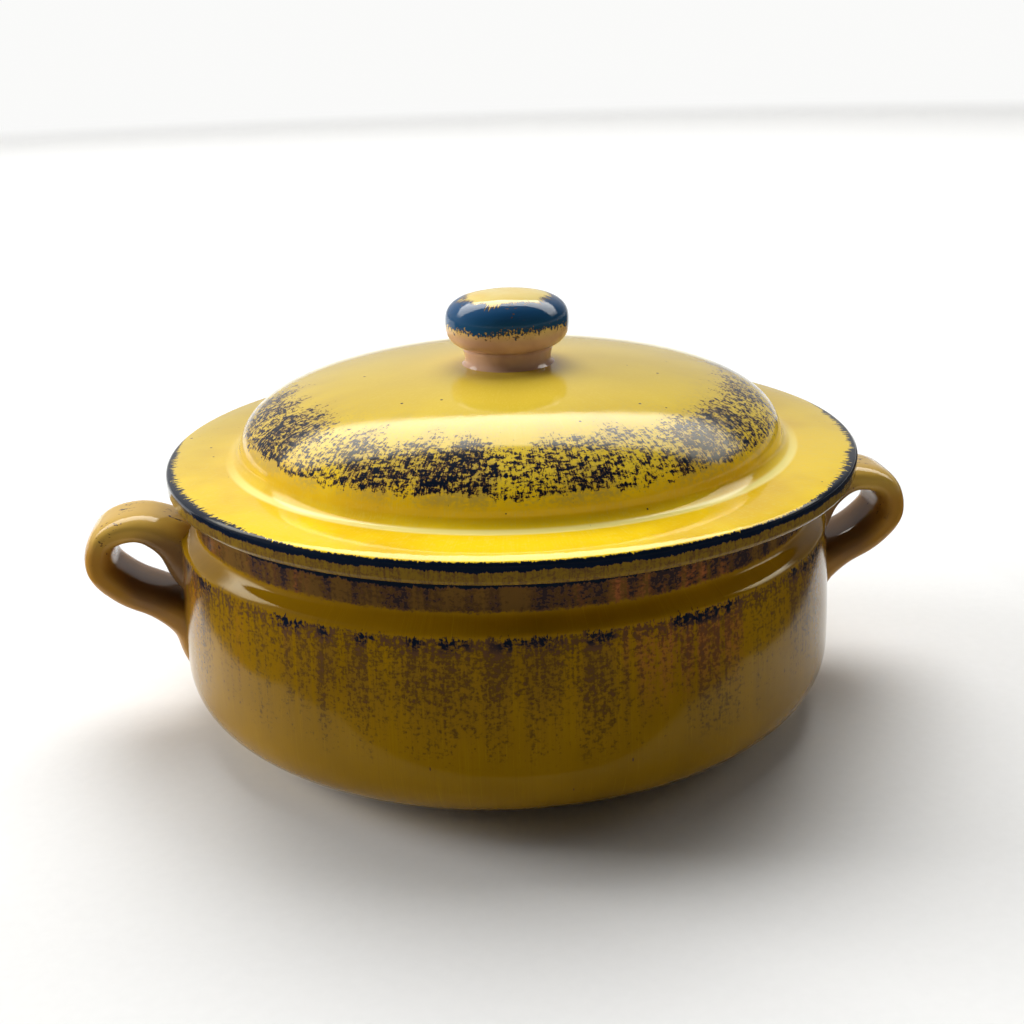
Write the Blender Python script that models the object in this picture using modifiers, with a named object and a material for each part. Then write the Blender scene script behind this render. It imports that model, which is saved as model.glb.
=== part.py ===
# Covered casserole in glazed earthenware. The pot is round, with two loop handles. The
# loose lid has a dome, a wide flat brim, a locating ring below it and a mushroom knob.
# Metres, +Z up. The origin is on the pot's axis, at the level of the foot it stands on,
# and the handles point along +X and -X.

import bmesh
import bpy
from math import cos, pi, radians, sin
from mathutils import Vector

# Driving dimensions
FACETS = 48                 # sides of every turned piece
GAP = 0.0003                # air between pieces that touch
MERGE = 0.00001             # turned points closer than this become one, as on the axis

# Pot
BASE_RADIUS = 0.0710        # flat underside, out to where the belly starts to rise
FOOT_RADIUS = 0.0600        # inner edge of the ring that it stands on
FOOT_RECESS = 0.0015
BELLY_RADIUS = 0.1159
BELLY_Z = 0.0260            # height of the widest place
BELLY_POWER = 2.43          # superellipse exponent of the rounding below it
BELLY_STEPS = 8
SIDE_STEPS = 3
COVE_STEPS = 5
SHOULDER_RADIUS = 0.1140
SHOULDER_Z = 0.0690
NECK_RADIUS = 0.1084
NECK_FOOT_Z = 0.0745        # the neck is upright from here to the rim
SEAT_Z = 0.0870             # the plane on which the lid's brim rests
POT_WALL = 0.0068
POT_FLOOR = 0.0080
RIM_ROUND = 0.0015
ROOT_GAP = 0.0004           # level air between a handle's root and the wall

# Lid, with heights above the seat plane
BRIM_RADIUS = 0.1200
BRIM_THICKNESS = 0.0080
BRIM_ROUND_ABOVE = 0.0014
BRIM_ROUND_BELOW = 0.0030
DOME_RADIUS = 0.0925
DOME_RISE = 0.0274          # above the brim's top
DOME_POWER = 3.0
DOME_STEPS = 14
HOLLOW_STEPS = 9
FILLET = 0.0050             # between the dome and the brim
HOLLOW_RADIUS = 0.0860      # of the space under the dome
DOME_WALL = 0.0062
LID_SHIFT = 0.0035          # how far the lid lies from the pot's axis, inside its play

# Locating ring, which hangs from the brim's underside into the pot's mouth
RING_RADIUS = 0.0970
RING_WALL = 0.0055
RING_DEPTH = 0.0100
RING_ROUND = 0.0018

# Knob
KNOB_RADIUS = 0.0214
KNOB_Z = 0.0418             # its widest place, above the brim's top
KNOB_UPPER = 0.0102
KNOB_LOWER = 0.0104
KNOB_POWER = 2.8
KNOB_STEPS = 8
STEM_RADIUS = 0.0146
STEM_FLARE = 0.0018

# Handle. Its strap runs through stations of x, z and thickness, from inside the wall
# below the neck, out, round and back into the belly. The first and last only steer it.
STRAP_WIDTH = 0.0280
STRAP_SWELL = 0.25          # how much wider it gets where it is thicker
STRAP_THINNEST = 0.0100
STRAP_POWER = 2.8
STRAP_SIDES = 16
STRAP_STEPS = 3             # rings between two stations
STATIONS = [
    (0.0890, 0.0400, 0.0250),
    (0.0990, 0.0500, 0.0250),
    (0.1090, 0.0600, 0.0230),
    (0.1180, 0.0685, 0.0135),
    (0.1283, 0.0732, 0.0098),
    (0.1396, 0.0703, 0.0095),
    (0.1424, 0.0594, 0.0104),
    (0.1343, 0.0504, 0.0106),
    (0.1237, 0.0447, 0.0108),
    (0.1140, 0.0375, 0.0145),
    (0.1080, 0.0265, 0.0190),
    (0.1010, 0.0140, 0.0160),
    (0.0930, 0.0030, 0.0160),
]


def start_scene():
    for old in list(bpy.data.objects):
        bpy.data.objects.remove(old)
    folders = []
    for name in ("covered_casserole", "cutters"):
        folder = bpy.data.collections.new(name)
        bpy.context.scene.collection.children.link(folder)
        folders.append(folder)
    return folders


def glaze(name, colour, roughness):
    material = bpy.data.materials.new(name)
    material.use_nodes = True
    shader = material.node_tree.nodes["Principled BSDF"]
    shader.inputs["Base Color"].default_value = (*colour, 1.0)
    shader.inputs["Roughness"].default_value = roughness
    shader.inputs["Metallic"].default_value = 0.0
    material.diffuse_color = (*colour, 1.0)
    return material


# Profiles: lists of radius and height

def superellipse(radius, height, power, steps):
    # a quarter, from the axis at full height out to full radius at height 0
    points = []
    for i in range(steps + 1):
        turn = pi / 2 * i / steps
        points.append((radius * sin(turn) ** (2 / power), height * cos(turn) ** (2 / power)))
    points[-1] = (radius, 0.0)
    return points


def corner(radius, z, size, start, steps=3):
    # a round corner of a quarter turn, clockwise from the start angle in degrees
    points = []
    for i in range(steps + 1):
        turn = radians(start - 90 * i / steps)
        points.append((radius + size * cos(turn), z + size * sin(turn)))
    return points


def pot_side(inset, base_z):
    # from the foot of the neck down over the shoulder and the belly to the flat base
    cove_drop = NECK_FOOT_Z - SHOULDER_Z
    cove_reach = SHOULDER_RADIUS - NECK_RADIUS
    points = []
    for i in range(COVE_STEPS + 1):
        s = i / COVE_STEPS
        reach = cove_reach * (1 - cos(pi * s)) / 2
        points.append((NECK_RADIUS - inset + reach, NECK_FOOT_Z - cove_drop * s))
    for i in range(1, SIDE_STEPS):
        s = i / SIDE_STEPS
        swell = (BELLY_RADIUS - SHOULDER_RADIUS) * sin(pi / 2 * s)
        points.append((SHOULDER_RADIUS - inset + swell, SHOULDER_Z + (BELLY_Z - SHOULDER_Z) * s))
    reach = BELLY_RADIUS - BASE_RADIUS
    drop = BELLY_Z - base_z
    for across, up in reversed(superellipse(reach, drop, BELLY_POWER, BELLY_STEPS)):
        points.append((BASE_RADIUS - inset + across, BELLY_Z - up))
    return points


def pot_profile():
    rim_z = SEAT_Z - GAP
    inner_neck = NECK_RADIUS - POT_WALL
    inside = [(0.0, POT_FLOOR)]
    inside += reversed(pot_side(POT_WALL, POT_FLOOR))
    inside += corner(inner_neck + RIM_ROUND, rim_z - RIM_ROUND, RIM_ROUND, 180)
    outside = corner(NECK_RADIUS - RIM_ROUND, rim_z - RIM_ROUND, RIM_ROUND, 90)
    outside += pot_side(0.0, 0.0)
    foot = [(FOOT_RADIUS, 0.0), (FOOT_RADIUS - FOOT_RECESS, FOOT_RECESS), (0.0, FOOT_RECESS)]
    return inside + outside + foot


def root_cutter_profile():
    # the pot's outside as a full solid, a little larger, to end the handles at the wall
    return [(0.0, SEAT_Z), (NECK_RADIUS + ROOT_GAP, SEAT_Z)] + pot_side(-ROOT_GAP, 0.0) + [(0.0, 0.0)]


def lid_profile():
    top = BRIM_THICKNESS
    dome = [(r, top + h) for r, h in superellipse(DOME_RADIUS, DOME_RISE, DOME_POWER, DOME_STEPS) if h > FILLET]
    bend = DOME_RADIUS + FILLET
    fillet = [(bend - FILLET * cos(turn), top + FILLET - FILLET * sin(turn))
              for turn in (radians(angle) for angle in (0, 30, 60, 90))]
    edge = corner(BRIM_RADIUS - BRIM_ROUND_ABOVE, top - BRIM_ROUND_ABOVE, BRIM_ROUND_ABOVE, 90)
    edge += corner(BRIM_RADIUS - BRIM_ROUND_BELOW, BRIM_ROUND_BELOW, BRIM_ROUND_BELOW, 0)
    inner_rise = BRIM_THICKNESS + DOME_RISE - DOME_WALL
    hollow = list(reversed(superellipse(HOLLOW_RADIUS, inner_rise, DOME_POWER, HOLLOW_STEPS)))
    return dome + fillet + edge + hollow


def ring_profile():
    top = -GAP
    inner = RING_RADIUS - RING_WALL
    below = corner(RING_RADIUS - RING_ROUND, top - RING_DEPTH + RING_ROUND, RING_ROUND, 0)
    below += corner(inner + RING_ROUND, top - RING_DEPTH + RING_ROUND, RING_ROUND, -90)
    return [(RING_RADIUS, top)] + below + [(inner, top)]


def knob_profile():
    middle = BRIM_THICKNESS + KNOB_Z
    foot_z = BRIM_THICKNESS + DOME_RISE + GAP
    upper = [(r, middle + h) for r, h in superellipse(KNOB_RADIUS, KNOB_UPPER, KNOB_POWER, KNOB_STEPS)]
    lower = []
    for r, h in reversed(superellipse(KNOB_RADIUS, KNOB_LOWER, KNOB_POWER, KNOB_STEPS)[:-1]):
        if r > STEM_RADIUS + STEM_FLARE / 2:
            lower.append((r, middle - h))
    stem = [(STEM_RADIUS, foot_z + 2 * STEM_FLARE)]
    stem += [(STEM_RADIUS + STEM_FLARE / 2, foot_z + STEM_FLARE / 2)]
    stem += [(STEM_RADIUS + STEM_FLARE, foot_z), (0.0, foot_z)]
    return upper + lower + stem


# Shapes

def turned(name, profile, folder, material=None, loop=False):
    # a profile that runs down its outer side, swept round the Z axis
    count = len(profile)
    edges = [(i, i + 1) for i in range(count - 1)]
    if loop:
        edges.append((count - 1, 0))
    mesh = bpy.data.meshes.new(name)
    mesh.from_pydata([(r, 0.0, z) for r, z in profile], edges, [])
    piece = bpy.data.objects.new(name, mesh)
    folder.objects.link(piece)
    screw = piece.modifiers.new("Turn", "SCREW")
    screw.axis = "Z"
    screw.angle = 2 * pi
    screw.steps = FACETS
    screw.render_steps = FACETS
    screw.use_merge_vertices = True
    screw.merge_threshold = MERGE
    screw.use_smooth_shade = True
    if material:
        mesh.materials.append(material)
    return piece


def smooth_route(stations, steps):
    # a Catmull-Rom curve through all but the first and last station
    route = []
    for i in range(1, len(stations) - 2):
        a, b, c, d = (Vector(station) for station in stations[i - 1:i + 3])
        for k in range(steps):
            t = k / steps
            bend = (2 * a - 5 * b + 4 * c - d) * t ** 2 + (3 * b - a - 3 * c + d) * t ** 3
            route.append((2 * b + (c - a) * t + bend) / 2)
    route.append(Vector(stations[-2]))
    return route


def signed_power(value, power):
    return abs(value) ** power if value >= 0 else -abs(value) ** power


def strap_mesh(name):
    # a loft of rounded-oval rings, each square to the route, which lies in the XZ plane
    route = smooth_route(STATIONS, STRAP_STEPS)
    model = bmesh.new()
    rings = []
    for i, (x, z, thickness) in enumerate(route):
        before = route[max(i - 1, 0)]
        after = route[min(i + 1, len(route) - 1)]
        along = Vector((after.x - before.x, after.y - before.y)).normalized()
        width = STRAP_WIDTH + STRAP_SWELL * (thickness - STRAP_THINNEST)
        ring = []
        for k in range(STRAP_SIDES):
            turn = 2 * pi * k / STRAP_SIDES
            side = signed_power(cos(turn), 2 / STRAP_POWER) * width / 2
            out = signed_power(sin(turn), 2 / STRAP_POWER) * thickness / 2
            ring.append(model.verts.new((x - along.y * out, side, z + along.x * out)))
        rings.append(ring)
    for first, second in zip(rings, rings[1:]):
        for k in range(STRAP_SIDES):
            after = (k + 1) % STRAP_SIDES
            model.faces.new((first[k], first[after], second[after], second[k]))
    model.faces.new(list(reversed(rings[0])))
    model.faces.new(rings[-1])
    bmesh.ops.recalc_face_normals(model, faces=model.faces)
    mesh = bpy.data.meshes.new(name)
    model.to_mesh(mesh)
    model.free()
    mesh.shade_smooth()
    mesh.set_sharp_from_angle(angle=radians(40))
    return mesh


def handle(name, turn, cutter, folder, material):
    mesh = strap_mesh(name)
    mesh.materials.append(material)
    piece = bpy.data.objects.new(name, mesh)
    folder.objects.link(piece)
    piece.rotation_euler.z = turn
    cut = piece.modifiers.new("Fit to the wall", "BOOLEAN")
    cut.operation = "DIFFERENCE"
    cut.solver = "EXACT"
    cut.object = cutter
    return piece


# Sub-parts

def make_pot(folder, cutters):
    turned("bowl", pot_profile(), folder, glaze("mustard glaze, pot", (0.40, 0.26, 0.03), 0.22))
    cutter = turned("wall_cutter", root_cutter_profile(), cutters)
    cutter.hide_render = True
    cutter.display_type = "WIRE"
    handle("handle_right", 0.0, cutter, folder, glaze("mustard glaze, right", (0.33, 0.21, 0.05), 0.24))
    handle("handle_left", pi, cutter, folder, glaze("mustard glaze, left", (0.33, 0.21, 0.05), 0.24))


def make_lid(folder):
    lift = bpy.data.objects.new("lid_lift_axis", None)
    folder.objects.link(lift)
    lift.location = (LID_SHIFT, 0.0, SEAT_Z)
    pieces = [
        turned("lid", lid_profile(), folder, glaze("mustard glaze, lid", (0.72, 0.50, 0.05), 0.20)),
        turned("lid_ring", ring_profile(), folder, glaze("bare rim", (0.55, 0.36, 0.16), 0.60), loop=True),
        turned("lid_knob", knob_profile(), folder, glaze("pale glaze, knob", (0.62, 0.47, 0.18), 0.22)),
    ]
    for piece in pieces:
        piece.parent = lift


def main():
    folder, cutters = start_scene()
    make_pot(folder, cutters)
    make_lid(folder)


main()
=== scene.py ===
from math import atan2, cos, pi, radians, sin

import bpy
from mathutils import Matrix, Vector


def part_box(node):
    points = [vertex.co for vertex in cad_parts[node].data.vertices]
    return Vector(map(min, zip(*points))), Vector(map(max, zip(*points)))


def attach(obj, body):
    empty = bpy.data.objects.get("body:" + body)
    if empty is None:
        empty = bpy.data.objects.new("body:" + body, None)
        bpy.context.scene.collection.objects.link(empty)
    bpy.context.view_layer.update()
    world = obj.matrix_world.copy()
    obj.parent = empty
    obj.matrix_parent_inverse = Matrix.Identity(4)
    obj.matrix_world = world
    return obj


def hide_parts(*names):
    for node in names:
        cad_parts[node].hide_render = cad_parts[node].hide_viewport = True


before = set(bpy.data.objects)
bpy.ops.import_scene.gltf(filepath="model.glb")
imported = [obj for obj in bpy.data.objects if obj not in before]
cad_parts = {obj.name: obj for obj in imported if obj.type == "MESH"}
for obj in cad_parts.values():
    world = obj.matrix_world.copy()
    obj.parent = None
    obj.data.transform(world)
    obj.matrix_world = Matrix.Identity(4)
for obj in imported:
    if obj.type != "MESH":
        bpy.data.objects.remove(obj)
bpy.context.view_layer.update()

# Places that every piece shares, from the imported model
lidLow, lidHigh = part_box("lid")
seatZ = lidLow.z
lidAxisX = (lidLow.x + lidHigh.x) / 2
crownZ = lidHigh.z
mm = 0.001


# Mesh tools

def clearSelection():
    if bpy.context.object and bpy.context.object.mode != "OBJECT":
        bpy.ops.object.mode_set(mode="OBJECT")
    bpy.ops.object.select_all(action="DESELECT")


def pick(piece):
    clearSelection()
    piece.select_set(True)
    bpy.context.view_layer.objects.active = piece


def finishModifier(piece, kind, settings):
    modifier = piece.modifiers.new(kind.title(), kind)
    for key, value in settings.items():
        setattr(modifier, key, value)
    bpy.context.view_layer.objects.active = piece
    bpy.ops.object.modifier_apply(modifier=modifier.name)


def turnedPiece(name, outline, axisX, sides):
    # the outline of radius and height is drawn point by point, then spun round the upright axis
    clearSelection()
    radius, height = outline[0]
    bpy.ops.mesh.primitive_plane_add(size=mm, location=(axisX + radius, 0, height))
    piece = bpy.context.object
    piece.name = name
    bpy.ops.object.transform_apply(location=True, rotation=True, scale=True)
    bpy.ops.object.mode_set(mode="EDIT")
    bpy.ops.mesh.merge(type="CENTER")
    for (fromRadius, fromHeight), (toRadius, toHeight) in zip(outline, outline[1:]):
        step = (toRadius - fromRadius, 0, toHeight - fromHeight)
        bpy.ops.mesh.extrude_vertices_move(TRANSFORM_OT_translate={"value": step})
    bpy.ops.mesh.select_all(action="SELECT")
    bpy.ops.mesh.spin(steps=sides, angle=2 * pi, center=(axisX, 0, 0), axis=(0, 0, 1))
    bpy.ops.mesh.select_all(action="SELECT")
    bpy.ops.mesh.remove_doubles(threshold=0.01 * mm)
    bpy.ops.mesh.normals_make_consistent(inside=False)
    bpy.ops.object.mode_set(mode="OBJECT")
    return piece


def handWobble(piece, size, depth):
    # the slight unevenness of clay thrown by hand
    lumps = bpy.data.textures.new(piece.name + "Lumps", "CLOUDS")
    lumps.noise_scale = size
    lumps.noise_depth = 1
    settings = {"texture": lumps, "texture_coords": "LOCAL", "mid_level": 0.5, "strength": depth}
    finishModifier(piece, "DISPLACE", settings)


def smoothFaces(piece, angle):
    pick(piece)
    bpy.ops.object.shade_smooth_by_angle(angle=radians(angle))


def coat(piece, materials, choose):
    # choose gives the number of the material for a face's centre and normal
    for material in materials:
        piece.data.materials.append(material)
    for face in piece.data.polygons:
        face.material_index = choose(face.center, face.normal)


def superCurve(radius, height, power, steps):
    # a quarter of a squared-off oval, from the axis at full height out to full radius
    turns = [pi / 2 * i / steps for i in range(steps)]
    curve = [(radius * sin(t) ** (2 / power), height * cos(t) ** (2 / power)) for t in turns]
    return curve + [(radius, 0)]


def roundCorner(radius, height, size, start, steps):
    # a quarter turn from the start angle, about a centre at radius and height
    turns = [radians(start - 90 * i / steps) for i in range(steps + 1)]
    return [(radius + size * cos(t), height + size * sin(t)) for t in turns]


# Shader tools

class Strand:
    # a shader socket that can be added, subtracted and multiplied like a number
    def __init__(self, bench, socket):
        self.bench, self.socket = bench, socket

    def work(self, operation, first, second=0.0):
        return self.bench.node("ShaderNodeMath", {"operation": operation}, {0: first, 1: second})

    def __add__(self, other):
        return self.work("ADD", self, other)

    def __sub__(self, other):
        return self.work("SUBTRACT", self, other)

    def __rsub__(self, other):
        return self.work("SUBTRACT", other, self)

    def __mul__(self, other):
        return self.work("MULTIPLY", self, other)

    def __abs__(self):
        return self.work("ABSOLUTE", self)

    __radd__ = __add__
    __rmul__ = __mul__

    def most(self, other):
        return self.work("MAXIMUM", self, other)


class Bench:
    # one material, or the world, and the ways its nodes are added
    def __init__(self, name, library=bpy.data.materials):
        self.owner = library.new(name)
        self.owner.use_nodes = True
        self.tree = self.owner.node_tree
        self.shader = self.tree.nodes.get("Principled BSDF")

    def node(self, kind, settings=None, sockets=None, out=0):
        made = self.tree.nodes.new(kind)
        for key, value in (settings or {}).items():
            setattr(made, key, value)
        for key, value in (sockets or {}).items():
            self.feed(made.inputs[key], value)
        return Strand(self, made.outputs[out])

    def feed(self, socket, value):
        if isinstance(value, Strand):
            self.tree.links.new(value.socket, socket)
        else:
            socket.default_value = value

    def noise(self, place, scale, detail=2.0, rough=0.5, twist=0.0):
        sockets = {
            "Vector": place, "Scale": scale, "Detail": detail, "Roughness": rough, "Distortion": twist}
        return self.node("ShaderNodeTexNoise", {}, sockets)

    def dots(self, place, scale, far, near):
        # small round specks, one in each cell, between the two distances from its middle
        reach = self.node("ShaderNodeTexVoronoi", {"feature": "F1"}, {"Vector": place, "Scale": scale})
        return self.ease(reach, far, near)

    def ease(self, value, low, high, start=0.0, end=1.0):
        # a smooth step from start to end while the value goes from low to high
        sockets = {"Value": value, "From Min": low, "From Max": high, "To Min": start, "To Max": end}
        return self.node("ShaderNodeMapRange", {"interpolation_type": "SMOOTHSTEP"}, sockets)

    def blend(self, share, first, second):
        first, second = ((*tone, 1.0) if isinstance(tone, tuple) else tone for tone in (first, second))
        return self.node("ShaderNodeMix", {"data_type": "RGBA"}, {0: share, 6: first, 7: second}, 2)

    def point(self, x, y, z):
        return self.node("ShaderNodeCombineXYZ", {}, {0: x, 1: y, 2: z})

    def part(self, place, axis):
        return self.node("ShaderNodeSeparateXYZ", {}, {0: place}, axis)

    def spot(self, axisX=0.0):
        # the place on the piece, measured from its own upright axis
        place = self.node("ShaderNodeTexCoord", {}, {}, 3)
        return self.node("ShaderNodeMapping", {}, {"Vector": place, "Location": (-axisX, 0, 0)})

    def round(self, place):
        # the distance from the axis, and the direction from it as a point on a circle of radius 1
        flat = self.node("ShaderNodeVectorMath", {"operation": "MULTIPLY"}, {0: place, 1: (1, 1, 0)})
        reach = self.node("ShaderNodeVectorMath", {"operation": "LENGTH"}, {0: flat}, 1)
        facing = self.node("ShaderNodeVectorMath", {"operation": "NORMALIZE"}, {0: flat})
        return reach, facing

    def wrapped(self, facing, along, turns, rate):
        # coordinates for marks: turns is how fine they are round the piece, rate how fine along it
        ring = self.node("ShaderNodeVectorMath", {"operation": "SCALE"}, {0: facing, "Scale": turns})
        rise = self.point(0, 0, along * rate)
        return self.node("ShaderNodeVectorMath", {"operation": "ADD"}, {0: ring, 1: rise})

    def relief(self, heights):
        # each height is a pattern and its depth in metres
        total = None
        for pattern, depth in heights:
            total = pattern * depth if total is None else total + pattern * depth
        bump = self.node("ShaderNodeBump", {}, {"Strength": 1.0, "Distance": 1.0, "Height": total})
        self.feed(self.shader.inputs["Normal"], bump)

    def finish(self, tone, roughness, gloss, shine=(1, 1, 1)):
        # gloss is the index of refraction, and shine tints the reflection
        self.feed(self.shader.inputs["Base Color"], tone)
        self.feed(self.shader.inputs["Roughness"], roughness)
        self.shader.inputs["IOR"].default_value = gloss
        self.shader.inputs["Specular Tint"].default_value = (*shine, 1)
        return self.owner

    def surface(self, shader):
        # for what isn't glazed, such as a light
        self.feed(self.tree.nodes["Material Output"].inputs["Surface"], shader)
        return self.owner


# Glazes

tones = {
    "sunny": (0.93, 0.64, 0.012),
    "straw": (0.70, 0.50, 0.040),
    "honey": (0.80, 0.50, 0.010),
    "cream": (0.86, 0.66, 0.10),
    # mustard and olive are deeper than the lid's glaze: partly the pot's own colour, partly painted shade of the
    # belly
    "mustard": (0.300, 0.158, 0.0028),
    "oliveWithShade": (0.235, 0.122, 0.0022),
    "amber": (0.43, 0.215, 0.040),
    "veil": (0.115, 0.055, 0.026),
    "rust": (0.40, 0.115, 0.040),
    "indigo": (0.0035, 0.0085, 0.021),
    "teal": (0.012, 0.064, 0.155),
    "bark": (0.080, 0.042, 0.020),
    "umber": (0.046, 0.024, 0.010),
    # painted shade for the back of the lid
    "paintedBackShade": (0.43, 0.315, 0.072),
    # painted highlight for the ring at the foot of the dome
    "paintedHighlight": (0.98, 0.86, 0.30),
    "smoke": (0.42, 0.285, 0.075),
    "clay": (0.56, 0.31, 0.16),
    "terracotta": (0.50, 0.26, 0.13),
    "scorch": (0.36, 0.17, 0.07),
    "butter": (0.76, 0.59, 0.17),
    "toffee": (0.74, 0.52, 0.11),
    "rose": (0.56, 0.35, 0.230),
    "plum": (0.44, 0.26, 0.190),
    "sand": (0.60, 0.39, 0.075),
    "caramel": (0.36, 0.175, 0.024),
    # painted shade inside the handles' loops
    "insideShadeBrown": (0.16, 0.085, 0.04),
    "edgeOchre": (0.20, 0.118, 0.014),
    "edgeBrown": (0.11, 0.060, 0.018),
    "paper": (0.78, 0.78, 0.77),
    "paperFibre": (0.82, 0.82, 0.81),
    # near-black tones for the sheet of painted shade
    "shadeSheetDark": (0.010, 0.009, 0.008),
    "shadeSheetSpeck": (0.016, 0.014, 0.012),
}


def brushed(bench, base, marks, dark="indigo"):
    # a thin coat shows as a brown veil, a thick one as near-black indigo
    stained = bench.blend(bench.ease(marks, 0.0, 0.45), base, tones["veil"])
    return bench.blend(bench.ease(marks, 0.35, 0.80), stained, tones[dark])


lidGlaze = {
    "gloss": 1.25, "shine": (1.0, 0.95, 0.74),
    # where the brushed shoulder starts and ends, walked from the crown outwards, and how strong it is
    "shoulderFrom": 0.056, "shoulderFull": 0.091, "shoulderFade": 0.110, "shoulderTo": 0.1165, "brush": 0.92,
    "scratches": 0.30, "pinholes": 0.90, "pinholeScale": 80.0,
    # the painted edge: its radius, its height above the seat, and how far down the paint goes
    "edge": 0.1200, "edgeZ": 0.0080, "paintDepth": 0.0112,
    # a painted highlight ring round the foot of the dome
    "ringFrom": 0.0966, "ringTo": 0.1006, "ring": 0.85,
    "crownPale": 0.80, "streaks": 0.35, "paintedBackShadeAmount": 0.85, "haze": 0.62,
}


def lidMaterial():
    s = lidGlaze
    bench = Bench("decoratedLidGlaze")
    place = bench.spot(lidAxisX)
    reach, facing = bench.round(place)
    side, rear, height = bench.part(facing, 0), bench.part(facing, 1), bench.part(place, 2)
    run = reach + (crownZ - height)  # the distance walked from the crown outwards
    clump = bench.noise(bench.wrapped(facing, run, 5.0, 26), 1.0, 2.0)
    bristle = bench.noise(bench.wrapped(facing, run, 120, 210), 1.0, 3.0, 0.65)
    rows = bench.noise(bench.wrapped(facing, run, 34, 760), 1.0, 2.0, 0.6)
    grain = bench.noise(place, 820, 4.0, 0.72, 0.5)
    hair = bench.noise(bench.wrapped(facing, run, 210, 60), 1.0, 2.0, 0.6)
    tuft = bench.noise(bench.wrapped(facing, run, 26, 300), 1.0, 2.0, 0.6, 0.4)
    # the dry brush on the shoulder of the dome
    wander = (clump - 0.5) * 0.020
    shoulder = bench.ease(run + wander, s["shoulderFrom"], s["shoulderFull"])
    shoulder = shoulder * bench.ease(run + wander * 0.6, s["shoulderTo"], s["shoulderFade"])
    field = bristle * 0.30 + rows * 0.22 + grain * 0.36 + clump * 0.16 + tuft * 0.24 + shoulder * 0.30
    marks = bench.ease(field, 0.890, 1.012) * bench.ease(shoulder, 0.02, 0.25) * s["brush"]
    # fine scratches that fan out over the crown and the brim
    scratch = bench.ease(hair * 0.55 + grain * 0.45 + clump * 0.3, 0.80, 0.90)
    crown = bench.ease(run, 0.018, 0.075) * s["scratches"]
    # the painted edge is ragged on both sides, and laps widest over the brim at the front's sides
    teeth = bench.noise(bench.wrapped(facing, run, 120, 130), 1.0, 3.0, 0.7)
    sway = bench.noise(bench.wrapped(facing, run, 9, 10), 1.0, 2.0)
    atSides = bench.ease(abs(side), 0.60, 0.92)
    frontal = bench.ease(rear, 0.35, -0.05)
    ragged = (sway - 0.5) * 0.003 * atSides + (teeth - 0.5) * (0.0020 + atSides * 0.0075)
    lap = 0.0004 + frontal * (0.0003 + 0.0022 * atSides + ragged)
    paint = s["paintDepth"] + (teeth - 0.5) * 0.0026 + (sway - 0.5) * 0.0022
    inward = s["edge"] - reach
    drop = (seatZ + s["edgeZ"]) - height
    onTop = bench.ease(lap - inward, -0.0001, 0.0002)
    onSide = bench.ease((paint - s["edgeZ"]) - drop, -0.0002, 0.0002)
    rimBand = onTop * onSide * bench.ease(drop, -0.0015, -0.0010)
    pin = bench.dots(place, s["pinholeScale"], 0.045, 0.025) * bench.ease(reach, 0.03, 0.05)
    allMarks = (marks.most(scratch * crown)).most(rimBand).most(pin * s["pinholes"])
    # the glaze itself: paler on the crown, streaked all round, with painted shade darkening it towards the back
    cloud = bench.noise(place, 24, 3.0, 0.55)
    fine = bench.noise(bench.wrapped(facing, run, 60, 700), 1.0, 2.0, 0.6)
    base = bench.blend(bench.ease(cloud, 0.38, 0.66), tones["sunny"], tones["honey"])
    base = bench.blend(bench.ease(run, 0.112, 0.098) * s["crownPale"], base, tones["straw"])
    streaks = bench.ease(fine * 0.6 + hair * 0.4, 0.45, 0.70) * s["streaks"]
    base = bench.blend(streaks, base, tones["cream"])
    # painted shade: the lid is darkened towards the back
    back = bench.ease(bench.part(place, 1) + (cloud - 0.5) * 0.04, -0.100, 0.080)
    base = bench.blend(back * s["paintedBackShadeAmount"], base, tones["paintedBackShade"])
    belowEdge = bench.ease(drop, 0.0006, 0.0030) * bench.ease(reach, 0.116, 0.118)
    mottle = bench.ease(grain * 0.6 + teeth * 0.4, 0.44, 0.60)
    base = bench.blend(belowEdge, base, bench.blend(mottle, tones["edgeOchre"], tones["edgeBrown"]))
    # a painted highlight where the dome turns into the brim, only on the front half
    paintedFilletHighlight = bench.ease(reach, s["ringFrom"], s["ringFrom"] + 0.0012)
    paintedFilletHighlight = paintedFilletHighlight * bench.ease(reach, s["ringTo"], s["ringTo"] - 0.0014)
    base = bench.blend(paintedFilletHighlight * bench.ease(rear, 0.0, -0.55) * s["ring"], base, tones["paintedHighlight"])
    haze = bench.ease(run, 0.045, 0.10) * bench.ease(run, 0.118, 0.112)
    haze = haze * bench.ease(clump * 0.6 + fine * 0.4, 0.42, 0.62)
    base = bench.blend(haze * s["haze"], base, tones["smoke"])
    swell = bench.noise(place, 9, 1.0)
    bench.relief([(fine, 0.000020), (hair, 0.000008), (cloud, 0.00010), (allMarks, 0.000012), (swell, 0.0006)])
    rough = 0.035 + allMarks * 0.06 + cloud * 0.02
    return bench.finish(brushed(bench, base, allMarks), rough, s["gloss"], s["shine"])


potGlaze = {
    "gloss": 1.28, "shine": (1.0, 0.86, 0.42),
    "ridgeZ": 0.0690, "freshZ": 0.0615, "fadeZ": 0.020,  # where the brush touched first, and ran dry
    "neckZ": 0.0742, "rimZ": 0.0814,
    "strokes": 0.68, "freshStrokes": 0.14, "neckStrokes": 0.90,
    "thick": 0.26, "freshThick": 0.62, "neckThick": 0.66,
    "veil": 0.32, "neckVeil": 0.76, "neckPatches": 0.22, "rust": 0.62, "nicks": 0.50,
}


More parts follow.
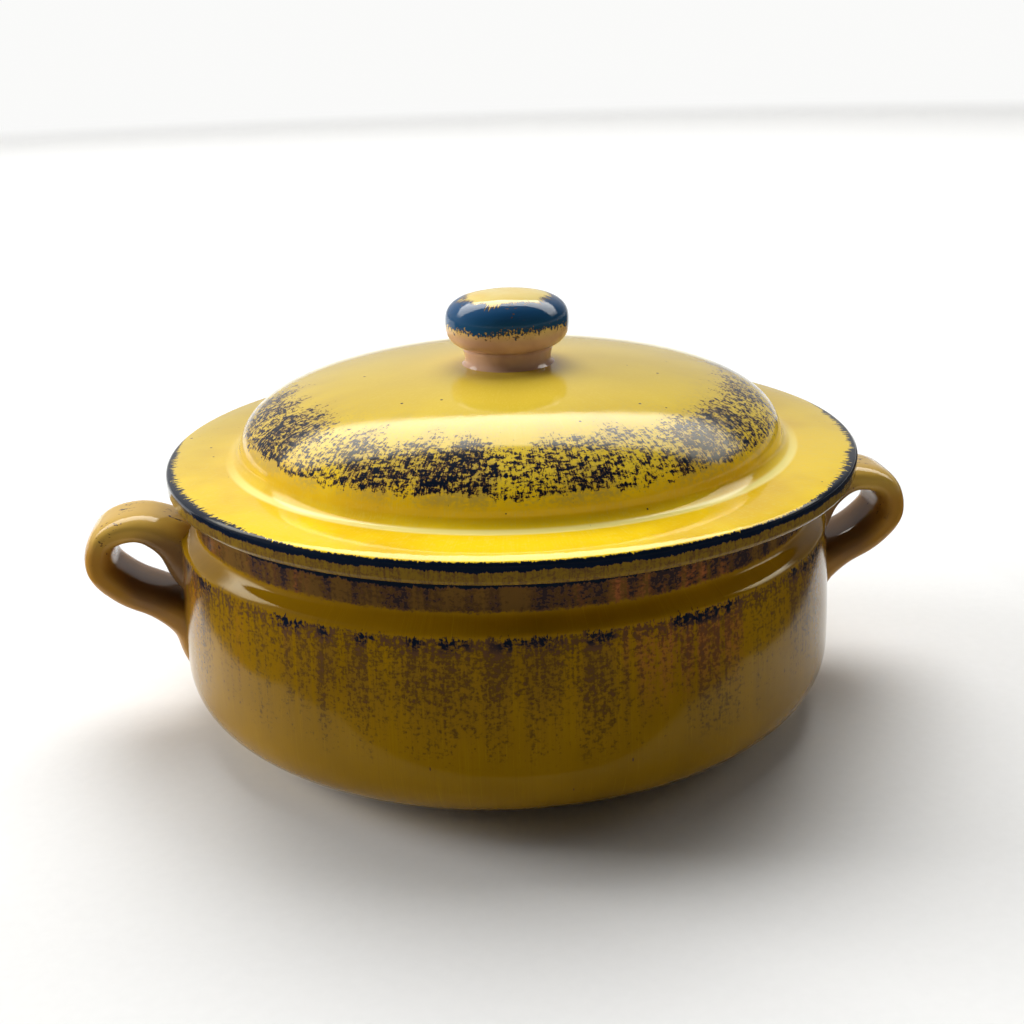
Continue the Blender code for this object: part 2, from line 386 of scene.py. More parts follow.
def potMaterial():
    s = potGlaze
    bench = Bench("decoratedPotGlaze")
    place = bench.spot()
    facing = bench.round(place)[1]
    side, height = bench.part(facing, 0), bench.part(place, 2)
    patch = bench.noise(bench.wrapped(facing, height, 7.0, 14), 1.0, 2.0)
    column = bench.noise(bench.wrapped(facing, height, 42, 8), 1.0, 2.0, 0.6)
    bristle = bench.noise(bench.wrapped(facing, height, 120, 260), 1.0, 3.0, 0.65)
    rows = bench.noise(bench.wrapped(facing, height, 62, 950), 1.0, 2.0, 0.6)
    grain = bench.noise(place, 860, 4.0, 0.70, 0.4)
    hair = bench.noise(bench.wrapped(facing, height, 300, 40), 1.0, 3.0, 0.65)
    # the ridge where the loaded brush first touched, ragged above, fading down the belly
    ragged = (bristle - 0.5) * 0.005 + (grain - 0.5) * 0.005
    under = bench.ease(s["ridgeZ"] + ragged - height, -0.0002, 0.0006)
    fresh = bench.ease(height, s["freshZ"], 0.0680) * under
    fade = bench.ease(height, s["fadeZ"], 0.066) * under
    field = bristle * 0.26 + rows * 0.34 + grain * 0.40 + column * 0.24 + patch * 0.24
    load = field + fresh * 0.05 + fade * 0.115
    belly = bench.ease(load, 0.800, 0.915) * bench.ease(fade, 0.0, 0.2)
    thick = bench.ease(load + fresh * 0.02, 0.885, 0.950) * bench.ease(fade, 0.2, 0.7)
    # the neck, brushed both ways, and the dark rim above it: indigo paint, and in part painted shadow of the lid's
    # brim
    neck = bench.ease(height + (grain - 0.5) * 0.003, s["neckZ"], s["neckZ"] + 0.0014)
    tiles = bench.noise(bench.wrapped(facing, height, 16, 30), 1.0, 0.0)
    crossed = rows * 0.42 + column * 0.28 + grain * 0.30 + tiles * 0.45
    crossed = crossed + bench.ease(height, 0.0765, 0.0840) * 0.02
    neckMarks = neck * bench.ease(crossed, 0.640, 0.780)
    neckThick = neck * bench.ease(crossed, 0.715, 0.790)
    rimEdge = height + (bristle - 0.5) * 0.003 + (tiles - 0.5) * 0.002
    # the rim band is indigo paint and, in part, painted shadow of the lid's brim
    rim = bench.ease(rimEdge, s["rimZ"], s["rimZ"] + 0.0010)
    # a thin veil left by the dry brush
    bellyVeil = bench.ease(patch + (column - 0.5) * 0.8, 0.36, 0.62) * fade * s["veil"]
    neckPatches = bench.ease(column * 0.5 + tiles * 0.5, 0.40, 0.58)
    veil = bellyVeil.most(neck * (s["neckVeil"] + s["neckPatches"] * neckPatches))
    strokes = (belly * (s["strokes"] + fresh * s["freshStrokes"])).most(neckMarks * s["neckStrokes"])
    thick = thick * (s["thick"] + fresh * bench.ease(patch, 0.40, 0.56) * s["freshThick"])
    thick = thick.most(neckThick * s["neckThick"])
    # short scratches on the belly
    nicks = bench.dots(bench.wrapped(facing, height, 16, 60), 1.0, 0.05, 0.025)
    marks = rim.most(nicks * s["nicks"]).most(thick)
    cloud = bench.noise(place, 18, 3.0, 0.55)
    # the pot's base glaze: its own colour, darkened in part as painted shade of the belly
    base = bench.blend(bench.ease(cloud, 0.36, 0.68), tones["mustard"], tones["oliveWithShade"])
    base = bench.blend(bench.ease(hair, 0.46, 0.72) * 0.40, base, tones["oliveWithShade"])
    base = bench.blend(bench.ease(hair, 0.42, 0.25) * 0.12, base, tones["honey"])
    rusty = bench.noise(bench.wrapped(facing, height, 2.6, 4), 1.0, 1.0)
    rusty = bench.ease(rusty + bench.ease(side, -0.45, -0.75) * 0.10, 0.51, 0.61)
    rusty = rusty * (bench.ease(height, 0.035, 0.066) * under).most(neck)
    base = bench.blend(veil, base, bench.blend(neck, tones["veil"], tones["bark"]))
    rusty = rusty * s["rust"] * bench.ease(grain * 0.5 + column * 0.5, 0.42, 0.58)
    base = bench.blend(rusty, base, tones["rust"])
    base = bench.blend(strokes, base, tones["umber"])
    swell = bench.noise(place, 9, 1.0)
    bench.relief([(hair, 0.000014), (cloud, 0.00012), (marks.most(strokes), 0.000012), (swell, 0.0007)])
    rough = 0.05 + marks * 0.08 + cloud * 0.03
    return bench.finish(brushed(bench, base, marks), rough, s["gloss"], s["shine"])


def insideMaterial():
    bench = Bench("plainInsideGlaze")
    place = bench.spot()
    reach, facing = bench.round(place)
    height = bench.part(place, 2)
    rings = bench.noise(bench.wrapped(facing, reach + height, 3, 600), 1.0, 2.0, 0.6)
    cloud = bench.noise(place, 30, 3.0, 0.6)
    specks = bench.ease(bench.noise(place, 420, 2.0, 0.6), 0.70, 0.76)
    base = bench.blend(bench.ease(cloud, 0.35, 0.68), tones["sunny"], tones["honey"])
    base = bench.blend(bench.ease(rings, 0.45, 0.7) * 0.3, base, tones["amber"])
    base = bench.blend(specks * 0.5, base, tones["veil"])
    bench.relief([(rings, 0.00005), (cloud, 0.0001)])
    return bench.finish(base, 0.12 + cloud * 0.08, 1.45)


def clayMaterial():
    bench = Bench("bareClay")
    place = bench.spot()
    reach, facing = bench.round(place)
    height = bench.part(place, 2)
    grit = bench.noise(place, 900, 4.0, 0.7)
    rings = bench.noise(bench.wrapped(facing, reach - height, 6, 1500), 1.0, 2.0, 0.6)
    stain = bench.noise(place, 40, 3.0, 0.6)
    base = bench.blend(bench.ease(grit, 0.3, 0.7), tones["terracotta"], tones["clay"])
    base = bench.blend(bench.ease(stain, 0.52, 0.70) * 0.6, base, tones["scorch"])
    bench.relief([(grit, 0.00012), (rings, 0.00006)])
    return bench.finish(base, 0.72 + grit * 0.2, 1.4)


knobGlaze = {
    # heights are from the knob's widest place
    "gloss": 1.27, "bandTop": 0.0087, "bandFoot": -0.0005, "wear": 0.65, "stemTop": 0.002, "stemFull": -0.004,
}


def knobMaterial():
    s = knobGlaze
    bench = Bench("knobGlaze")
    place = bench.spot(lidAxisX)
    facing = bench.round(place)[1]
    height = bench.part(place, 2)
    widest = seatZ + knob["widest"]
    bristle = bench.noise(bench.wrapped(facing, height, 30, 220), 1.0, 3.0, 0.7)
    grain = bench.noise(place, 900, 3.0, 0.65, 0.3)
    patch = bench.noise(place, 90, 2.0, 0.5)
    upper = widest + s["bandTop"] + (bristle - 0.5) * 0.0032 + (patch - 0.5) * 0.0060
    lower = widest + s["bandFoot"] + (bristle - 0.5) * 0.0035 + (grain - 0.5) * 0.0110 + (patch - 0.5) * 0.007
    band = bench.ease(upper - height, -0.0002, 0.0010) * bench.ease(height - lower, -0.0006, 0.0020)
    wornOff = bench.ease(grain * 0.6 + patch * 0.4, 0.55, 0.64) * bench.ease(patch, 0.48, 0.60)
    marks = band * (1 - wornOff * s["wear"])
    cloud = bench.noise(place, 70, 3.0, 0.55)
    pale = bench.blend(bench.ease(cloud, 0.35, 0.68), tones["butter"], tones["toffee"])
    stem = bench.blend(bench.ease(cloud, 0.40, 0.66), tones["rose"], tones["plum"])
    base = bench.blend(bench.ease(height, widest + s["stemTop"], widest + s["stemFull"]), pale, stem)
    rings = bench.noise(bench.wrapped(facing, height, 4, 900), 1.0, 2.0)
    bench.relief([(rings, 0.00003), (cloud, 0.0001), (marks, 0.00001)])
    return bench.finish(brushed(bench, base, marks, dark="teal"), 0.04 + marks * 0.03, s["gloss"])


handleGlaze = {
    "gloss": 1.27, "loopX": 0.1215, "loopZ": 0.0585,
    "insideShadeFrom": 0.0175, "insideShadeFull": 0.0105, "inner": 0.8,  # painted shade on the inside of the loop, by distance from the loop's middle
    "topFrom": 0.0650, "topFull": 0.0755, "top": 0.75,  # the pale top, by height
}


def handleMaterial(name, side):
    s = handleGlaze
    bench = Bench(name)
    place = bench.spot()
    height = bench.part(place, 2)
    away = bench.node("ShaderNodeVectorMath", {"operation": "MULTIPLY"}, {0: place, 1: (1, 0, 1)})
    middle = (s["loopX"] * side, 0, s["loopZ"])
    away = bench.node("ShaderNodeVectorMath", {"operation": "DISTANCE"}, {0: away, 1: middle}, 1)
    grain = bench.noise(place, 520, 3.0, 0.65, 0.4)
    along = bench.node("ShaderNodeMapping", {}, {"Vector": place, "Scale": (90, 520, 200)})
    drag = bench.noise(along, 1.0, 3.0, 0.65)
    cloud = bench.noise(place, 45, 3.0, 0.6)
    # painted shade: the inside of the loop is darkened
    inner = bench.ease(away + (cloud - 0.5) * 0.006, s["insideShadeFrom"], s["insideShadeFull"])
    top = bench.ease(height + (cloud - 0.5) * 0.012, s["topFrom"], s["topFull"])
    base = bench.blend(bench.ease(cloud, 0.36, 0.66), tones["amber"], tones["caramel"])
    base = bench.blend(top * s["top"], base, tones["sand"])
    base = bench.blend(inner * s["inner"], base, tones["insideShadeBrown"])
    dabs = bench.ease(grain * 0.45 + drag * 0.55, 0.56, 0.64)
    dabs = dabs * bench.ease(bench.noise(place, 70, 2.0), 0.48, 0.58) * bench.ease(height, 0.052, 0.066)
    bench.relief([(drag, 0.00002), (cloud, 0.00015), (dabs, 0.00001)])
    return bench.finish(brushed(bench, base, dabs), 0.06 + cloud * 0.04, s["gloss"])


# Pot

pot = {
    "sides": 192, "base": 0.0710, "baseZ": 0.0012, "footOuter": 0.0700, "footInner": 0.0605, "footLift": 0.0002,
    "recess": 0.0015, "belly": 0.1159, "bellyZ": 0.0260, "bellyPower": 2.43, "shoulder": 0.1140,
    "shoulderZ": 0.0690, "neck": 0.1084, "neckFootZ": 0.0745, "wall": 0.0068, "floor": 0.0080,
    "rimDrop": 0.0006, "rimRound": 0.0026, "wobble": 0.00035, "wobbleSize": 0.09,
}


def potSide(inset, baseZ):
    # from the foot of the neck down over the shoulder and belly to the base
    s = pot
    line = []
    steps = 14
    for i in range(steps + 1):
        t = i / steps
        spread = (s["shoulder"] - s["neck"]) * (1 - cos(pi * t)) / 2
        line.append((s["neck"] - inset + spread, s["neckFootZ"] + (s["shoulderZ"] - s["neckFootZ"]) * t))
    for i in range(1, steps):
        t = i / steps
        swell = (s["belly"] - s["shoulder"]) * sin(pi / 2 * t)
        line.append((s["shoulder"] - inset + swell, s["shoulderZ"] + (s["bellyZ"] - s["shoulderZ"]) * t))
    curve = superCurve(s["belly"] - s["base"], s["bellyZ"] - baseZ, s["bellyPower"], 30)
    line += [(s["base"] - inset + across, s["bellyZ"] - up) for across, up in reversed(curve)]
    return line


def makePot():
    s = pot
    rimZ = seatZ - s["rimDrop"]
    mouth = s["neck"] - s["wall"]
    lipZ = rimZ - s["rimRound"]
    inside = [(0, s["floor"]), (0.02, s["floor"]), (0.04, s["floor"])]
    inside += list(reversed(potSide(s["wall"], s["floor"])))
    inside += roundCorner(mouth + s["rimRound"], lipZ, s["rimRound"], 180, 6)
    outside = roundCorner(s["neck"] - s["rimRound"], lipZ, s["rimRound"], 90, 6)
    outside += [(s["neck"], lipZ - (lipZ - s["neckFootZ"]) * i / 5) for i in range(1, 5)]
    outside += potSide(0, s["baseZ"])[:-3]
    foot = [
        (s["footOuter"] + 0.0009, 0.0008), (s["footOuter"], s["footLift"]), (s["footInner"], s["footLift"]),
        (s["footInner"] - 0.0008, 0.0004), (s["footInner"] - s["recess"], s["recess"]),
        (0.03, s["recess"]), (0, s["recess"]),
    ]
    piece = turnedPiece("potBody", inside + outside + foot, 0, s["sides"])

    outer, inner, bare = 0, 1, 2  # the materials' numbers

    def finishOf(centre, normal):
        reach = Vector((centre.x, centre.y)).length
        if centre.z < 0.0022 and reach < s["footOuter"] + 0.0012:
            return bare
        inwards = normal.x * centre.x + normal.y * centre.y < 0
        if centre.z > 0.006 and (reach < mouth + 0.001 or (inwards and reach < s["belly"] - 0.004)):
            return inner
        return outer

    coat(piece, [potMaterial(), insideMaterial(), clayMaterial()], finishOf)
    handWobble(piece, s["wobbleSize"], s["wobble"])
    smoothFaces(piece, 45)
    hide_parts("bowl")
    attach(piece, "pot")


# Lid

lid = {
    "sides": 192, "brim": 0.1200, "thickness": 0.0080, "roundAbove": 0.0016, "roundBelow": 0.0026,
    "edgeFall": 0.00045, "dome": 0.0948, "rise": 0.0274, "power": 2.62, "filletUp": 0.0042,
    "filletOut": 0.0056, "filletIn": 0.0003, "hollow": 0.0860, "wall": 0.0062, "wobble": 0.0003, "wobbleSize": 0.08,
}


def makeLid():
    s = lid
    top = seatZ + s["thickness"]
    curve = superCurve(s["dome"], s["rise"], s["power"], 56)
    dome = [(r, top + h) for r, h in curve if h > s["filletUp"] * 1.04]
    bend = s["dome"] - s["filletIn"] + s["filletOut"]
    # the fillet leaves the dome steeply and sweeps out wide on to the brim
    fillet = [(bend - s["filletOut"] * cos(t), top + s["filletUp"] - s["filletUp"] * sin(t))
              for t in [radians(8 + 82 * i / 16) for i in range(17)]]
    falls = [(0.0035, 0), (0.0070, 0), (0.0100, 0.00006), (0.0125, 0.00022)]  # the brim dips at its edge
    flat = [(bend + across, top - fall) for across, fall in falls]
    upperEdge = top - s["edgeFall"] - s["roundAbove"]
    edge = roundCorner(s["brim"] - s["roundAbove"], upperEdge, s["roundAbove"], 78, 7)
    edge += roundCorner(s["brim"] - s["roundBelow"], seatZ + s["roundBelow"], s["roundBelow"], 0, 7)
    under = [(0.105, seatZ), (0.095, seatZ)]
    rise = s["thickness"] + s["rise"] - s["wall"]
    hollow = [(r, seatZ + h) for r, h in reversed(superCurve(s["hollow"], rise, s["power"], 30))]
    piece = turnedPiece("lidBody", dome + fillet + flat + edge + under + hollow, lidAxisX, s["sides"])

    outer, inner = 0, 1  # the materials' numbers

    def finishOf(centre, normal):
        reach = Vector((centre.x - lidAxisX, centre.y)).length
        underneath = normal.z < -0.2 and reach < 0.117
        return inner if underneath or (reach < s["hollow"] + 0.001 and normal.z < 0.05) else outer

    coat(piece, [lidMaterial(), insideMaterial()], finishOf)
    handWobble(piece, s["wobbleSize"], s["wobble"])
    smoothFaces(piece, 45)
    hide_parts("lid")
    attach(piece, "cover")


lidRing = {
    "sides": 160, "outer": 0.0970, "wall": 0.0055, "depth": 0.0100, "round": 0.0018,
    "wobble": 0.0002, "wobbleSize": 0.05,
}


def makeLidRing():
    s = lidRing
    inner = s["outer"] - s["wall"]
    low = seatZ - s["depth"]
    # its top is let into the lid by a hair, and flares where the slip was wiped round it
    outline = [(inner, seatZ + 0.0004), (s["outer"] + 0.0012, seatZ + 0.0002)]
    outline += [(s["outer"] + 0.0003, seatZ - 0.0010), (s["outer"], seatZ - 0.0028)]
    outline += roundCorner(s["outer"] - s["round"], low + s["round"], s["round"], 0, 6)
    outline += roundCorner(inner + s["round"], low + s["round"], s["round"], -90, 6)
    outline += [(inner, seatZ - 0.0028), (inner - 0.0004, seatZ - 0.0010), (inner, seatZ + 0.0004)]
    piece = turnedPiece("lidRing", outline, lidAxisX, s["sides"])
    handWobble(piece, s["wobbleSize"], s["wobble"])
    smoothFaces(piece, 40)
    coat(piece, [clayMaterial()], lambda centre, normal: 0)
    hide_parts("lid_ring")
    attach(piece, "cover")


knob = {
    "sides": 128, "radius": 0.0214, "widest": 0.0498, "upper": 0.0102, "lower": 0.0104, "power": 2.8,
    "collar": 0.0157, "crease": 0.0004, "foot": 0.0146, "flare": 0.0011, "wobble": 0.0003, "wobbleSize": 0.02,
}


def makeKnob():
    s = knob
    middle = seatZ + s["widest"]
    foot = seatZ + lid["thickness"] + lid["rise"]
    outline = [(r, middle + h) for r, h in superCurve(s["radius"], s["upper"], s["power"], 22)]
    lower = reversed(superCurve(s["radius"], s["lower"], s["power"], 22)[:-1])
    outline += [(r, middle - h) for r, h in lower if r > s["collar"] + 0.0012]
    step = outline[-1][1]
    # a thumbed crease, then the collar that tapers to the crown of the lid
    stemTop = step - 0.0015
    outline += [(s["collar"] + 0.0006, step - 0.0004), (s["collar"] - s["crease"], step - 0.0009)]
    outline.append((s["collar"], stemTop))
    steps = 9
    for i in range(1, steps + 1):
        t = i / steps
        radius = s["collar"] + (s["foot"] - s["collar"]) * t + s["flare"] * t ** 6
        outline.append((radius, stemTop + (foot + 0.0004 - stemTop) * t))
    sunk = foot - 0.0008  # the stem goes a little way into the crown
    outline += [(s["foot"] + s["flare"] + 0.0007, foot - 0.0002), (s["foot"], sunk), (0, sunk)]
    piece = turnedPiece("lidKnob", outline, lidAxisX, s["sides"])
    handWobble(piece, s["wobbleSize"], s["wobble"])
    smoothFaces(piece, 50)
    coat(piece, [knobMaterial()], lambda centre, normal: 0)
    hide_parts("lid_knob")
    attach(piece, "cover")


# Handles

handle = {
    "width": 0.0280, "swell": 0.25, "thinnest": 0.0100, "corner": 0.36, "wobble": 0.0005, "wobbleSize": 0.03,
    "cutTop": 0.1000, "cutSides": 96,
    # x, z and thickness of the strap, from inside the wall, out, round and back; the ends only steer
    "stations": [
        (0.0890, 0.0400, 0.0250), (0.0990, 0.0500, 0.0250), (0.1090, 0.0600, 0.0230), (0.1180, 0.0685, 0.0135),
        (0.1283, 0.0732, 0.0098), (0.1396, 0.0703, 0.0095), (0.1424, 0.0594, 0.0104), (0.1343, 0.0504, 0.0106),
        (0.1237, 0.0447, 0.0108), (0.1140, 0.0375, 0.0145), (0.1080, 0.0265, 0.0190), (0.1010, 0.0140, 0.0160),
        (0.0930, 0.0030, 0.0160),
    ],
}


def easedRoute(stations, steps):
    # a smooth route through the stations; the first and last only steer it
    route = []
    for i in range(1, len(stations) - 2):
        a, b, c, d = (Vector(station) for station in stations[i - 1:i + 3])
        for k in range(steps):
            t = k / steps
            bend = (2 * a - 5 * b + 4 * c - d) * t ** 2 + (3 * b - a - 3 * c + d) * t ** 3
            route.append((2 * b + (c - a) * t + bend) / 2)
    return route + [Vector(stations[-2])]


def makeHandle(name):
    s = handle
    route = easedRoute(s["stations"], 4)
    clearSelection()
    first = route[0]
    bpy.ops.mesh.primitive_plane_add(size=1.0, location=(0, 0, 0), rotation=(0, pi / 2, 0))
    piece = bpy.context.object
    piece.name = name
    piece.scale = (first.z, s["width"] + s["swell"] * (first.z - s["thinnest"]), 1)
    bpy.ops.object.transform_apply(location=True, rotation=True, scale=True)
    bpy.ops.object.mode_set(mode="EDIT")
    # the strap's section has four rounded corners, and its long sides are cut in four
    bpy.ops.mesh.bevel(offset=first.z * s["corner"], segments=4, affect="VERTICES", profile=0.5)
    bpy.ops.mesh.delete(type="ONLY_FACE")
    bpy.ops.object.mode_set(mode="OBJECT")
    for edge in piece.data.edges:
        a, b = (piece.data.vertices[i].co for i in edge.vertices)
        edge.select = (a - b).length > 0.004
    bpy.ops.object.mode_set(mode="EDIT")
    bpy.ops.mesh.subdivide(number_cuts=3)
    bpy.ops.mesh.select_all(action="SELECT")
    spot, angle, old = Vector((0, 0, 0)), 0.0, first
    for i, point in enumerate(route):
        before, after = route[max(i - 1, 0)], route[min(i + 1, len(route) - 1)]
        lean = atan2(after.y - before.y, after.x - before.x)
        target = Vector((point.x, 0, point.y))
        about = {"orient_axis": "Y", "orient_type": "GLOBAL", "center_override": target}
        if i:
            bpy.ops.mesh.extrude_edges_move(TRANSFORM_OT_translate={"value": target - spot})
        else:
            bpy.ops.transform.translate(value=target - spot)
        # square again, resized, then turned to the route
        if angle:
            bpy.ops.transform.rotate(value=-angle, **about)
        widths = [s["width"] + s["swell"] * (p.z - s["thinnest"]) for p in (old, point)]
        bpy.ops.transform.resize(value=(1, widths[1] / widths[0], point.z / old.z), center_override=target)
        if lean:
            bpy.ops.transform.rotate(value=lean, **about)
        spot, angle, old = target, lean, point
    bpy.ops.mesh.edge_face_add()
    bpy.ops.object.mode_set(mode="OBJECT")
    return piece


def finishHandle(piece, node, side, material):
    s = handle
    pick(piece)
    if side < 0:
        piece.rotation_euler.z = pi
        bpy.ops.object.transform_apply(location=True, rotation=True, scale=True)
    bpy.ops.object.mode_set(mode="EDIT")
    bpy.ops.mesh.select_all(action="SELECT")
    bpy.ops.mesh.normals_make_consistent(inside=False)
    bpy.ops.object.mode_set(mode="OBJECT")
    finishModifier(piece, "SUBSURF", {"levels": 2, "render_levels": 2})
    handWobble(piece, s["wobbleSize"], s["wobble"])
    # the roots stop halfway through the wall
    middle = pot["wall"] / 2
    hollow = [(0, s["cutTop"]), (pot["neck"] - middle, s["cutTop"])] + potSide(middle, middle) + [(0, middle)]
    cutter = turnedPiece("handleCutter", hollow, 0, s["cutSides"])
    finishModifier(piece, "BOOLEAN", {"object": cutter, "operation": "DIFFERENCE", "solver": "EXACT"})
    pick(cutter)
    bpy.ops.object.delete()
    smoothFaces(piece, 60)
    coat(piece, [material], lambda centre, normal: 0)
    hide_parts(node)
    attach(piece, "pot")


print("turning the pot")
makePot()
print("turning the lid, its ring and its knob")
makeLid()
makeLidRing()
makeKnob()
print("pulling the handles")
for handleName, handleNode, handleSide in (("rightHandle", "handle_right", 1), ("leftHandle", "handle_left", -1)):
    strap = makeHandle(handleName)
    finishHandle(strap, handleNode, handleSide, handleMaterial(handleName + "Glaze", handleSide))


# Studio

camera = {
    "turn": 0.11, "rise": 0.2883, "distance": 0.4981, "aimZ": 0.095,
    "yaw": 0.0061, "pitch": -0.0536, "roll": -0.0343, "lens": 49.22,
}
studio = {
    "floorRadius": 3.4, "curl": 0.45, "archDistance": 3.0, "archTop": 8.5, "archSides": 1.8,
    # left to right: heading and height of the lower rail, then of the upper rail
    "arch": [
        (-65, 19, -78, 19), (-62, 24, -75, 33), (-57, 30, -69, 44), (-50, 34, -59, 52), (-38, 36, -42, 57),
        (-20, 36, -22, 58), (0, 36, 0, 58), (20, 36, 22, 58), (38, 36, 42, 57), (50, 34, 63, 52), (58, 30, 76, 44),
        (63, 24, 84, 32), (65, 19, 85, 19),
    ],
    # a dark sheet of painted shade that the belly mirrors, for the dark side of the room, as x and y off the camera's
    # line, near then far
    "shade": [
        (-0.22, 0.06, -3.3, 1.5), (-0.20, -0.04, -3.3, -0.2), (-0.18, -0.11, -3.0, -1.6), (-0.13, -0.150, -2.0, -2.8),
        (-0.04, -0.155, -0.7, -3.3), (0.04, -0.150, 0.7, -3.3), (0.13, -0.145, 2.0, -2.8), (0.19, -0.10, 3.0, -1.6),
        (0.21, -0.02, 3.3, -0.2), (0.22, 0.06, 3.3, 1.2), (0.20, 0.14, 2.8, 2.2), (0.15, 0.22, 1.9, 2.9),
    ], "shadeZ": 0.001,
    # name, heading, height, distance, size and power
    "sheets": [
        ("topSheet", 0, 62, 3.3, 2.6, 118.0), ("leftSheet", -76, 16, 3.0, 1.3, 84.0),
        ("rightSheet", 72, 22, 3.0, 1.3, 8.0),
    ],
    "behind": 0.74, "front": 0.03, "lean": -0.40,  # the room's light behind, in front, and from left to right
    "wallRadius": 2.80, "wallHeight": 3.00, "wallFoot": 0.04, "wallGlow": 0.96,
}


def startRing(name, radius):
    # a ring of edges on the ground, left in edit mode with all of it selected
    clearSelection()
    bpy.ops.mesh.primitive_circle_add(vertices=96, radius=radius, location=(0, 0, 0))
    ring = bpy.context.object
    ring.name = name
    bpy.ops.object.mode_set(mode="EDIT")
    bpy.ops.mesh.select_all(action="SELECT")
    return ring


def makeFloor():
    s = studio
    floor = startRing("studioFloor", s["floorRadius"])
    reach, height, steps = s["floorRadius"], 0.0, 8
    for i in range(1, steps + 1):  # the far edge curls up like a sheet of paper
        turn = pi / 2 * i / steps
        newReach, newHeight = s["floorRadius"] + s["curl"] * sin(turn), s["curl"] * (1 - cos(turn))
        bpy.ops.mesh.extrude_edges_move(TRANSFORM_OT_translate={"value": (0, 0, newHeight - height)})
        bpy.ops.transform.resize(value=(newReach / reach, newReach / reach, 1))
        reach, height = newReach, newHeight
    bpy.ops.object.mode_set(mode="OBJECT")
    for vertex in floor.data.vertices:
        vertex.select = vertex.co.z < mm
    for edge in floor.data.edges:
        edge.select = all(floor.data.vertices[i].co.z < mm for i in edge.vertices)
    bpy.ops.object.mode_set(mode="EDIT")
    bpy.ops.mesh.edge_face_add()
    bpy.ops.object.mode_set(mode="OBJECT")
    floor.data.shade_smooth()
    bench = Bench("paperFloor")
    fibre = bench.noise(bench.spot(), 240, 3.0, 0.6)
    floor.data.materials.append(bench.finish(bench.blend(fibre, tones["paper"], tones["paperFibre"]), 0.85, 1.3))


def makeWall():
    # a pale wall all round the floor, which only the camera sees, so it changes no light on the pot
    s = studio
    wall = startRing("paleWall", s["wallRadius"])
    bpy.ops.mesh.extrude_edges_move(TRANSFORM_OT_translate={"value": (0, 0, s["wallHeight"])})
    bpy.ops.object.mode_set(mode="OBJECT")
    wall.visible_diffuse = wall.visible_glossy = wall.visible_shadow = False
    bench = Bench("paleWallPaper")
    share = bench.ease(bench.part(bench.spot(), 2), 0.0, s["wallFoot"])  # its foot fades into the floor
    clear = bench.node("ShaderNodeBsdfTransparent")
    glow = bench.node("ShaderNodeEmission", {}, {"Color": (1.0, 1.0, 0.99, 1), "Strength": s["wallGlow"]})
    paper = bench.surface(bench.node("ShaderNodeMixShader", {}, {0: share, 1: clear, 2: glow}))
    paper.cycles.emission_sampling = "NONE"
    wall.data.materials.append(paper)


def skyPoint(turn, rise, distance):
    # a place round the object, from its heading off the camera's line and its height in degrees
    turn, rise = radians(turn) + camera["turn"], radians(rise)
    return Vector((sin(turn) * cos(rise), cos(turn) * cos(rise), sin(rise))) * distance


def drawLine(points):
    # one chain of edges, point by point, in the object being edited
    bpy.ops.mesh.select_all(action="DESELECT")
    bpy.ops.mesh.primitive_plane_add(size=mm, location=points[0])
    bpy.ops.mesh.merge(type="CENTER")
    for before, after in zip(points, points[1:]):
        bpy.ops.mesh.extrude_vertices_move(TRANSFORM_OT_translate={"value": after - before})


def makeSheet(name, lines):
    # a stage sheet stretched between two chains of edges
    clearSelection()
    bpy.ops.mesh.primitive_plane_add(size=mm, location=(0, 0, 0))
    sheet = bpy.context.object
    sheet.name = name
    bpy.ops.object.mode_set(mode="EDIT")
    bpy.ops.mesh.delete(type="VERT")
    for line in lines:
        drawLine(line)
    bpy.ops.mesh.select_all(action="SELECT")
    bpy.ops.mesh.bridge_edge_loops()
    bpy.ops.object.mode_set(mode="OBJECT")
    sheet.visible_camera = sheet.visible_diffuse = sheet.visible_shadow = False  # only mirrors show it
    return sheet


def railPoints(stations, side, place):
    # the lower or near rail is side 0, the upper or far rail side 1
    return [place(*station[2 * side:2 * side + 2]) for station in stations]


def makeArch():
    # the bright arch that the glaze mirrors: a wide window overhead with sides that come down
    s = studio
    far = s["archDistance"]
    rails = [railPoints(s["arch"], side, lambda turn, rise: skyPoint(turn, rise, far)) for side in (0, 1)]
    arch = makeSheet("windowArch", rails)
    bench = Bench("windowLight")
    height = bench.part(bench.spot(), 2)
    level = bench.ease(height, 0.32 * far, 0.58 * far, s["archSides"], s["archTop"])
    glow = bench.node("ShaderNodeEmission", {}, {"Color": (1.0, 0.975, 0.90, 1), "Strength": level})
    arch.data.materials.append(bench.surface(glow))


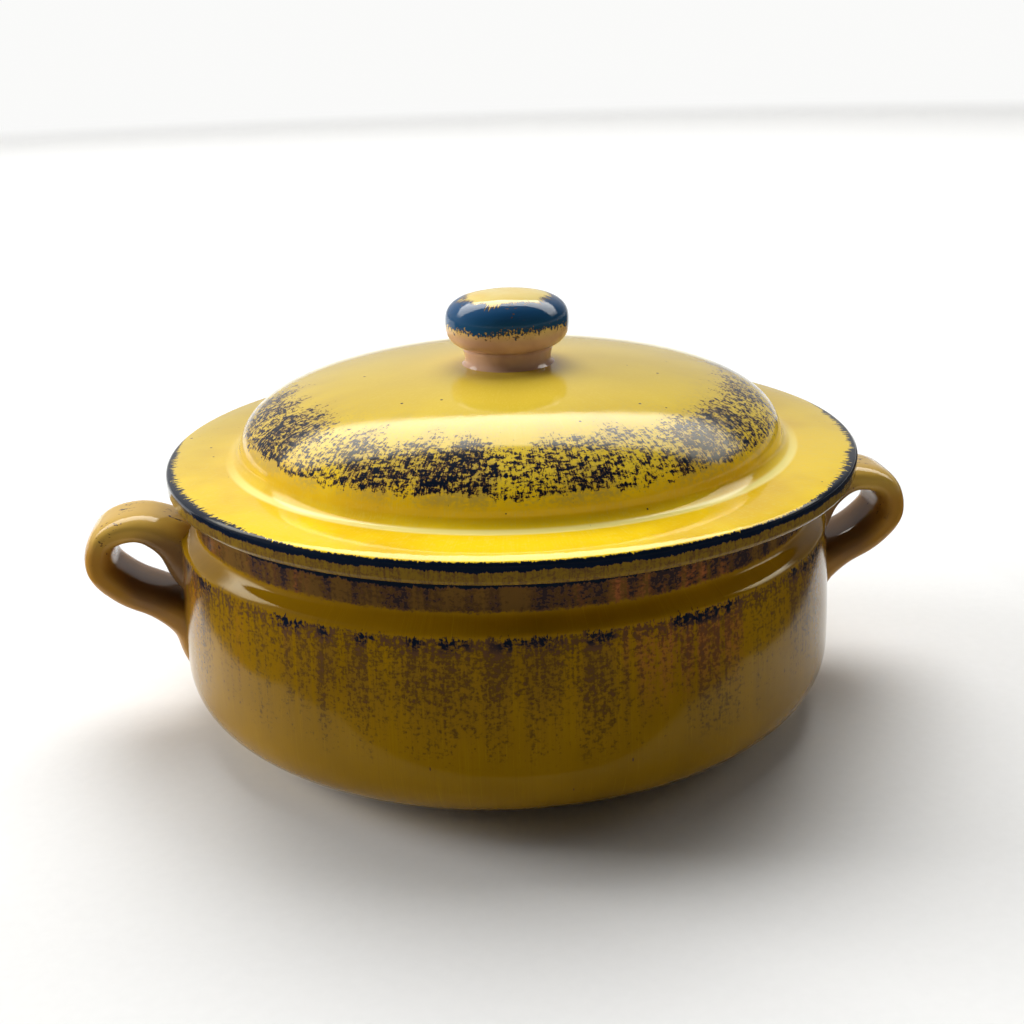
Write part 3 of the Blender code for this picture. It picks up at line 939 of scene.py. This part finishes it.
def makeShade():
    # a dark sheet that only mirrors see, painted shade for the dark room in front of the table, so the belly mirrors
    # little of the floor
    s = studio
    turned = Matrix.Rotation(-camera["turn"], 3, "Z")
    rails = [railPoints(s["shade"], side, lambda x, y: turned @ Vector((x, y, s["shadeZ"]))) for side in (0, 1)]
    shade = makeSheet("darkSide", rails)
    bench = Bench("paintedShadeSheet")
    # painted shade: a near-black tone for the sheet
    shadeSheetTone = bench.blend(bench.noise(bench.spot(), 30), tones["shadeSheetDark"], tones["shadeSheetSpeck"])
    shade.data.materials.append(bench.finish(shadeSheetTone, 0.9, 1.2))


def makeLights():
    for name, turn, rise, distance, size, power in studio["sheets"]:
        place = skyPoint(turn, rise, distance)
        bpy.ops.object.light_add(type="AREA", location=place + Vector((0, 0, 0.1)))
        sheet = bpy.context.object
        sheet.name = name
        sheet.data.size = size
        sheet.data.energy = power
        sheet.visible_glossy = False  # it lights the glaze, and only the arch shows in it
        sheet.rotation_euler = place.to_track_quat("Z", "Y").to_euler()


def makeRoom():
    # a dim room, paler behind the object than in front of it, and on the left than on the right
    s = studio
    room = Bench("studioRoom", bpy.data.worlds)
    heading = room.node("ShaderNodeTexCoord")
    level = room.part(heading, 0) * s["lean"] + room.part(heading, 1)
    background = room.tree.nodes["Background"].inputs
    room.feed(background["Strength"], room.ease(level, -0.2, 0.9, s["front"], s["behind"]))
    room.feed(background["Color"], (1.0, 0.99, 0.97, 1))
    bpy.context.scene.world = room.owner


def makeCamera():
    s = camera
    back = Vector((-sin(s["turn"]) * cos(s["rise"]), -cos(s["turn"]) * cos(s["rise"]), sin(s["rise"])))
    place = Vector((0, 0, s["aimZ"])) + back * s["distance"]
    bpy.ops.object.camera_add(location=place)
    eye = bpy.context.object
    aim = Matrix.Identity(3)
    turns = ((-s["turn"], "Z"), (pi / 2 - s["rise"], "X"), (-s["yaw"], "Y"), (s["pitch"], "X"), (s["roll"], "Z"))
    for turn, axis in turns:
        aim = aim @ Matrix.Rotation(turn, 3, axis)
    eye.rotation_euler = aim.to_euler()
    eye.data.lens = s["lens"]
    eye.data.sensor_width = 36
    bpy.context.scene.camera = eye


print("setting the studio")
makeFloor()
makeWall()
makeArch()
makeShade()
makeLights()
makeRoom()
makeCamera()
bpy.context.scene.view_settings.view_transform = "Standard"

print("ready")
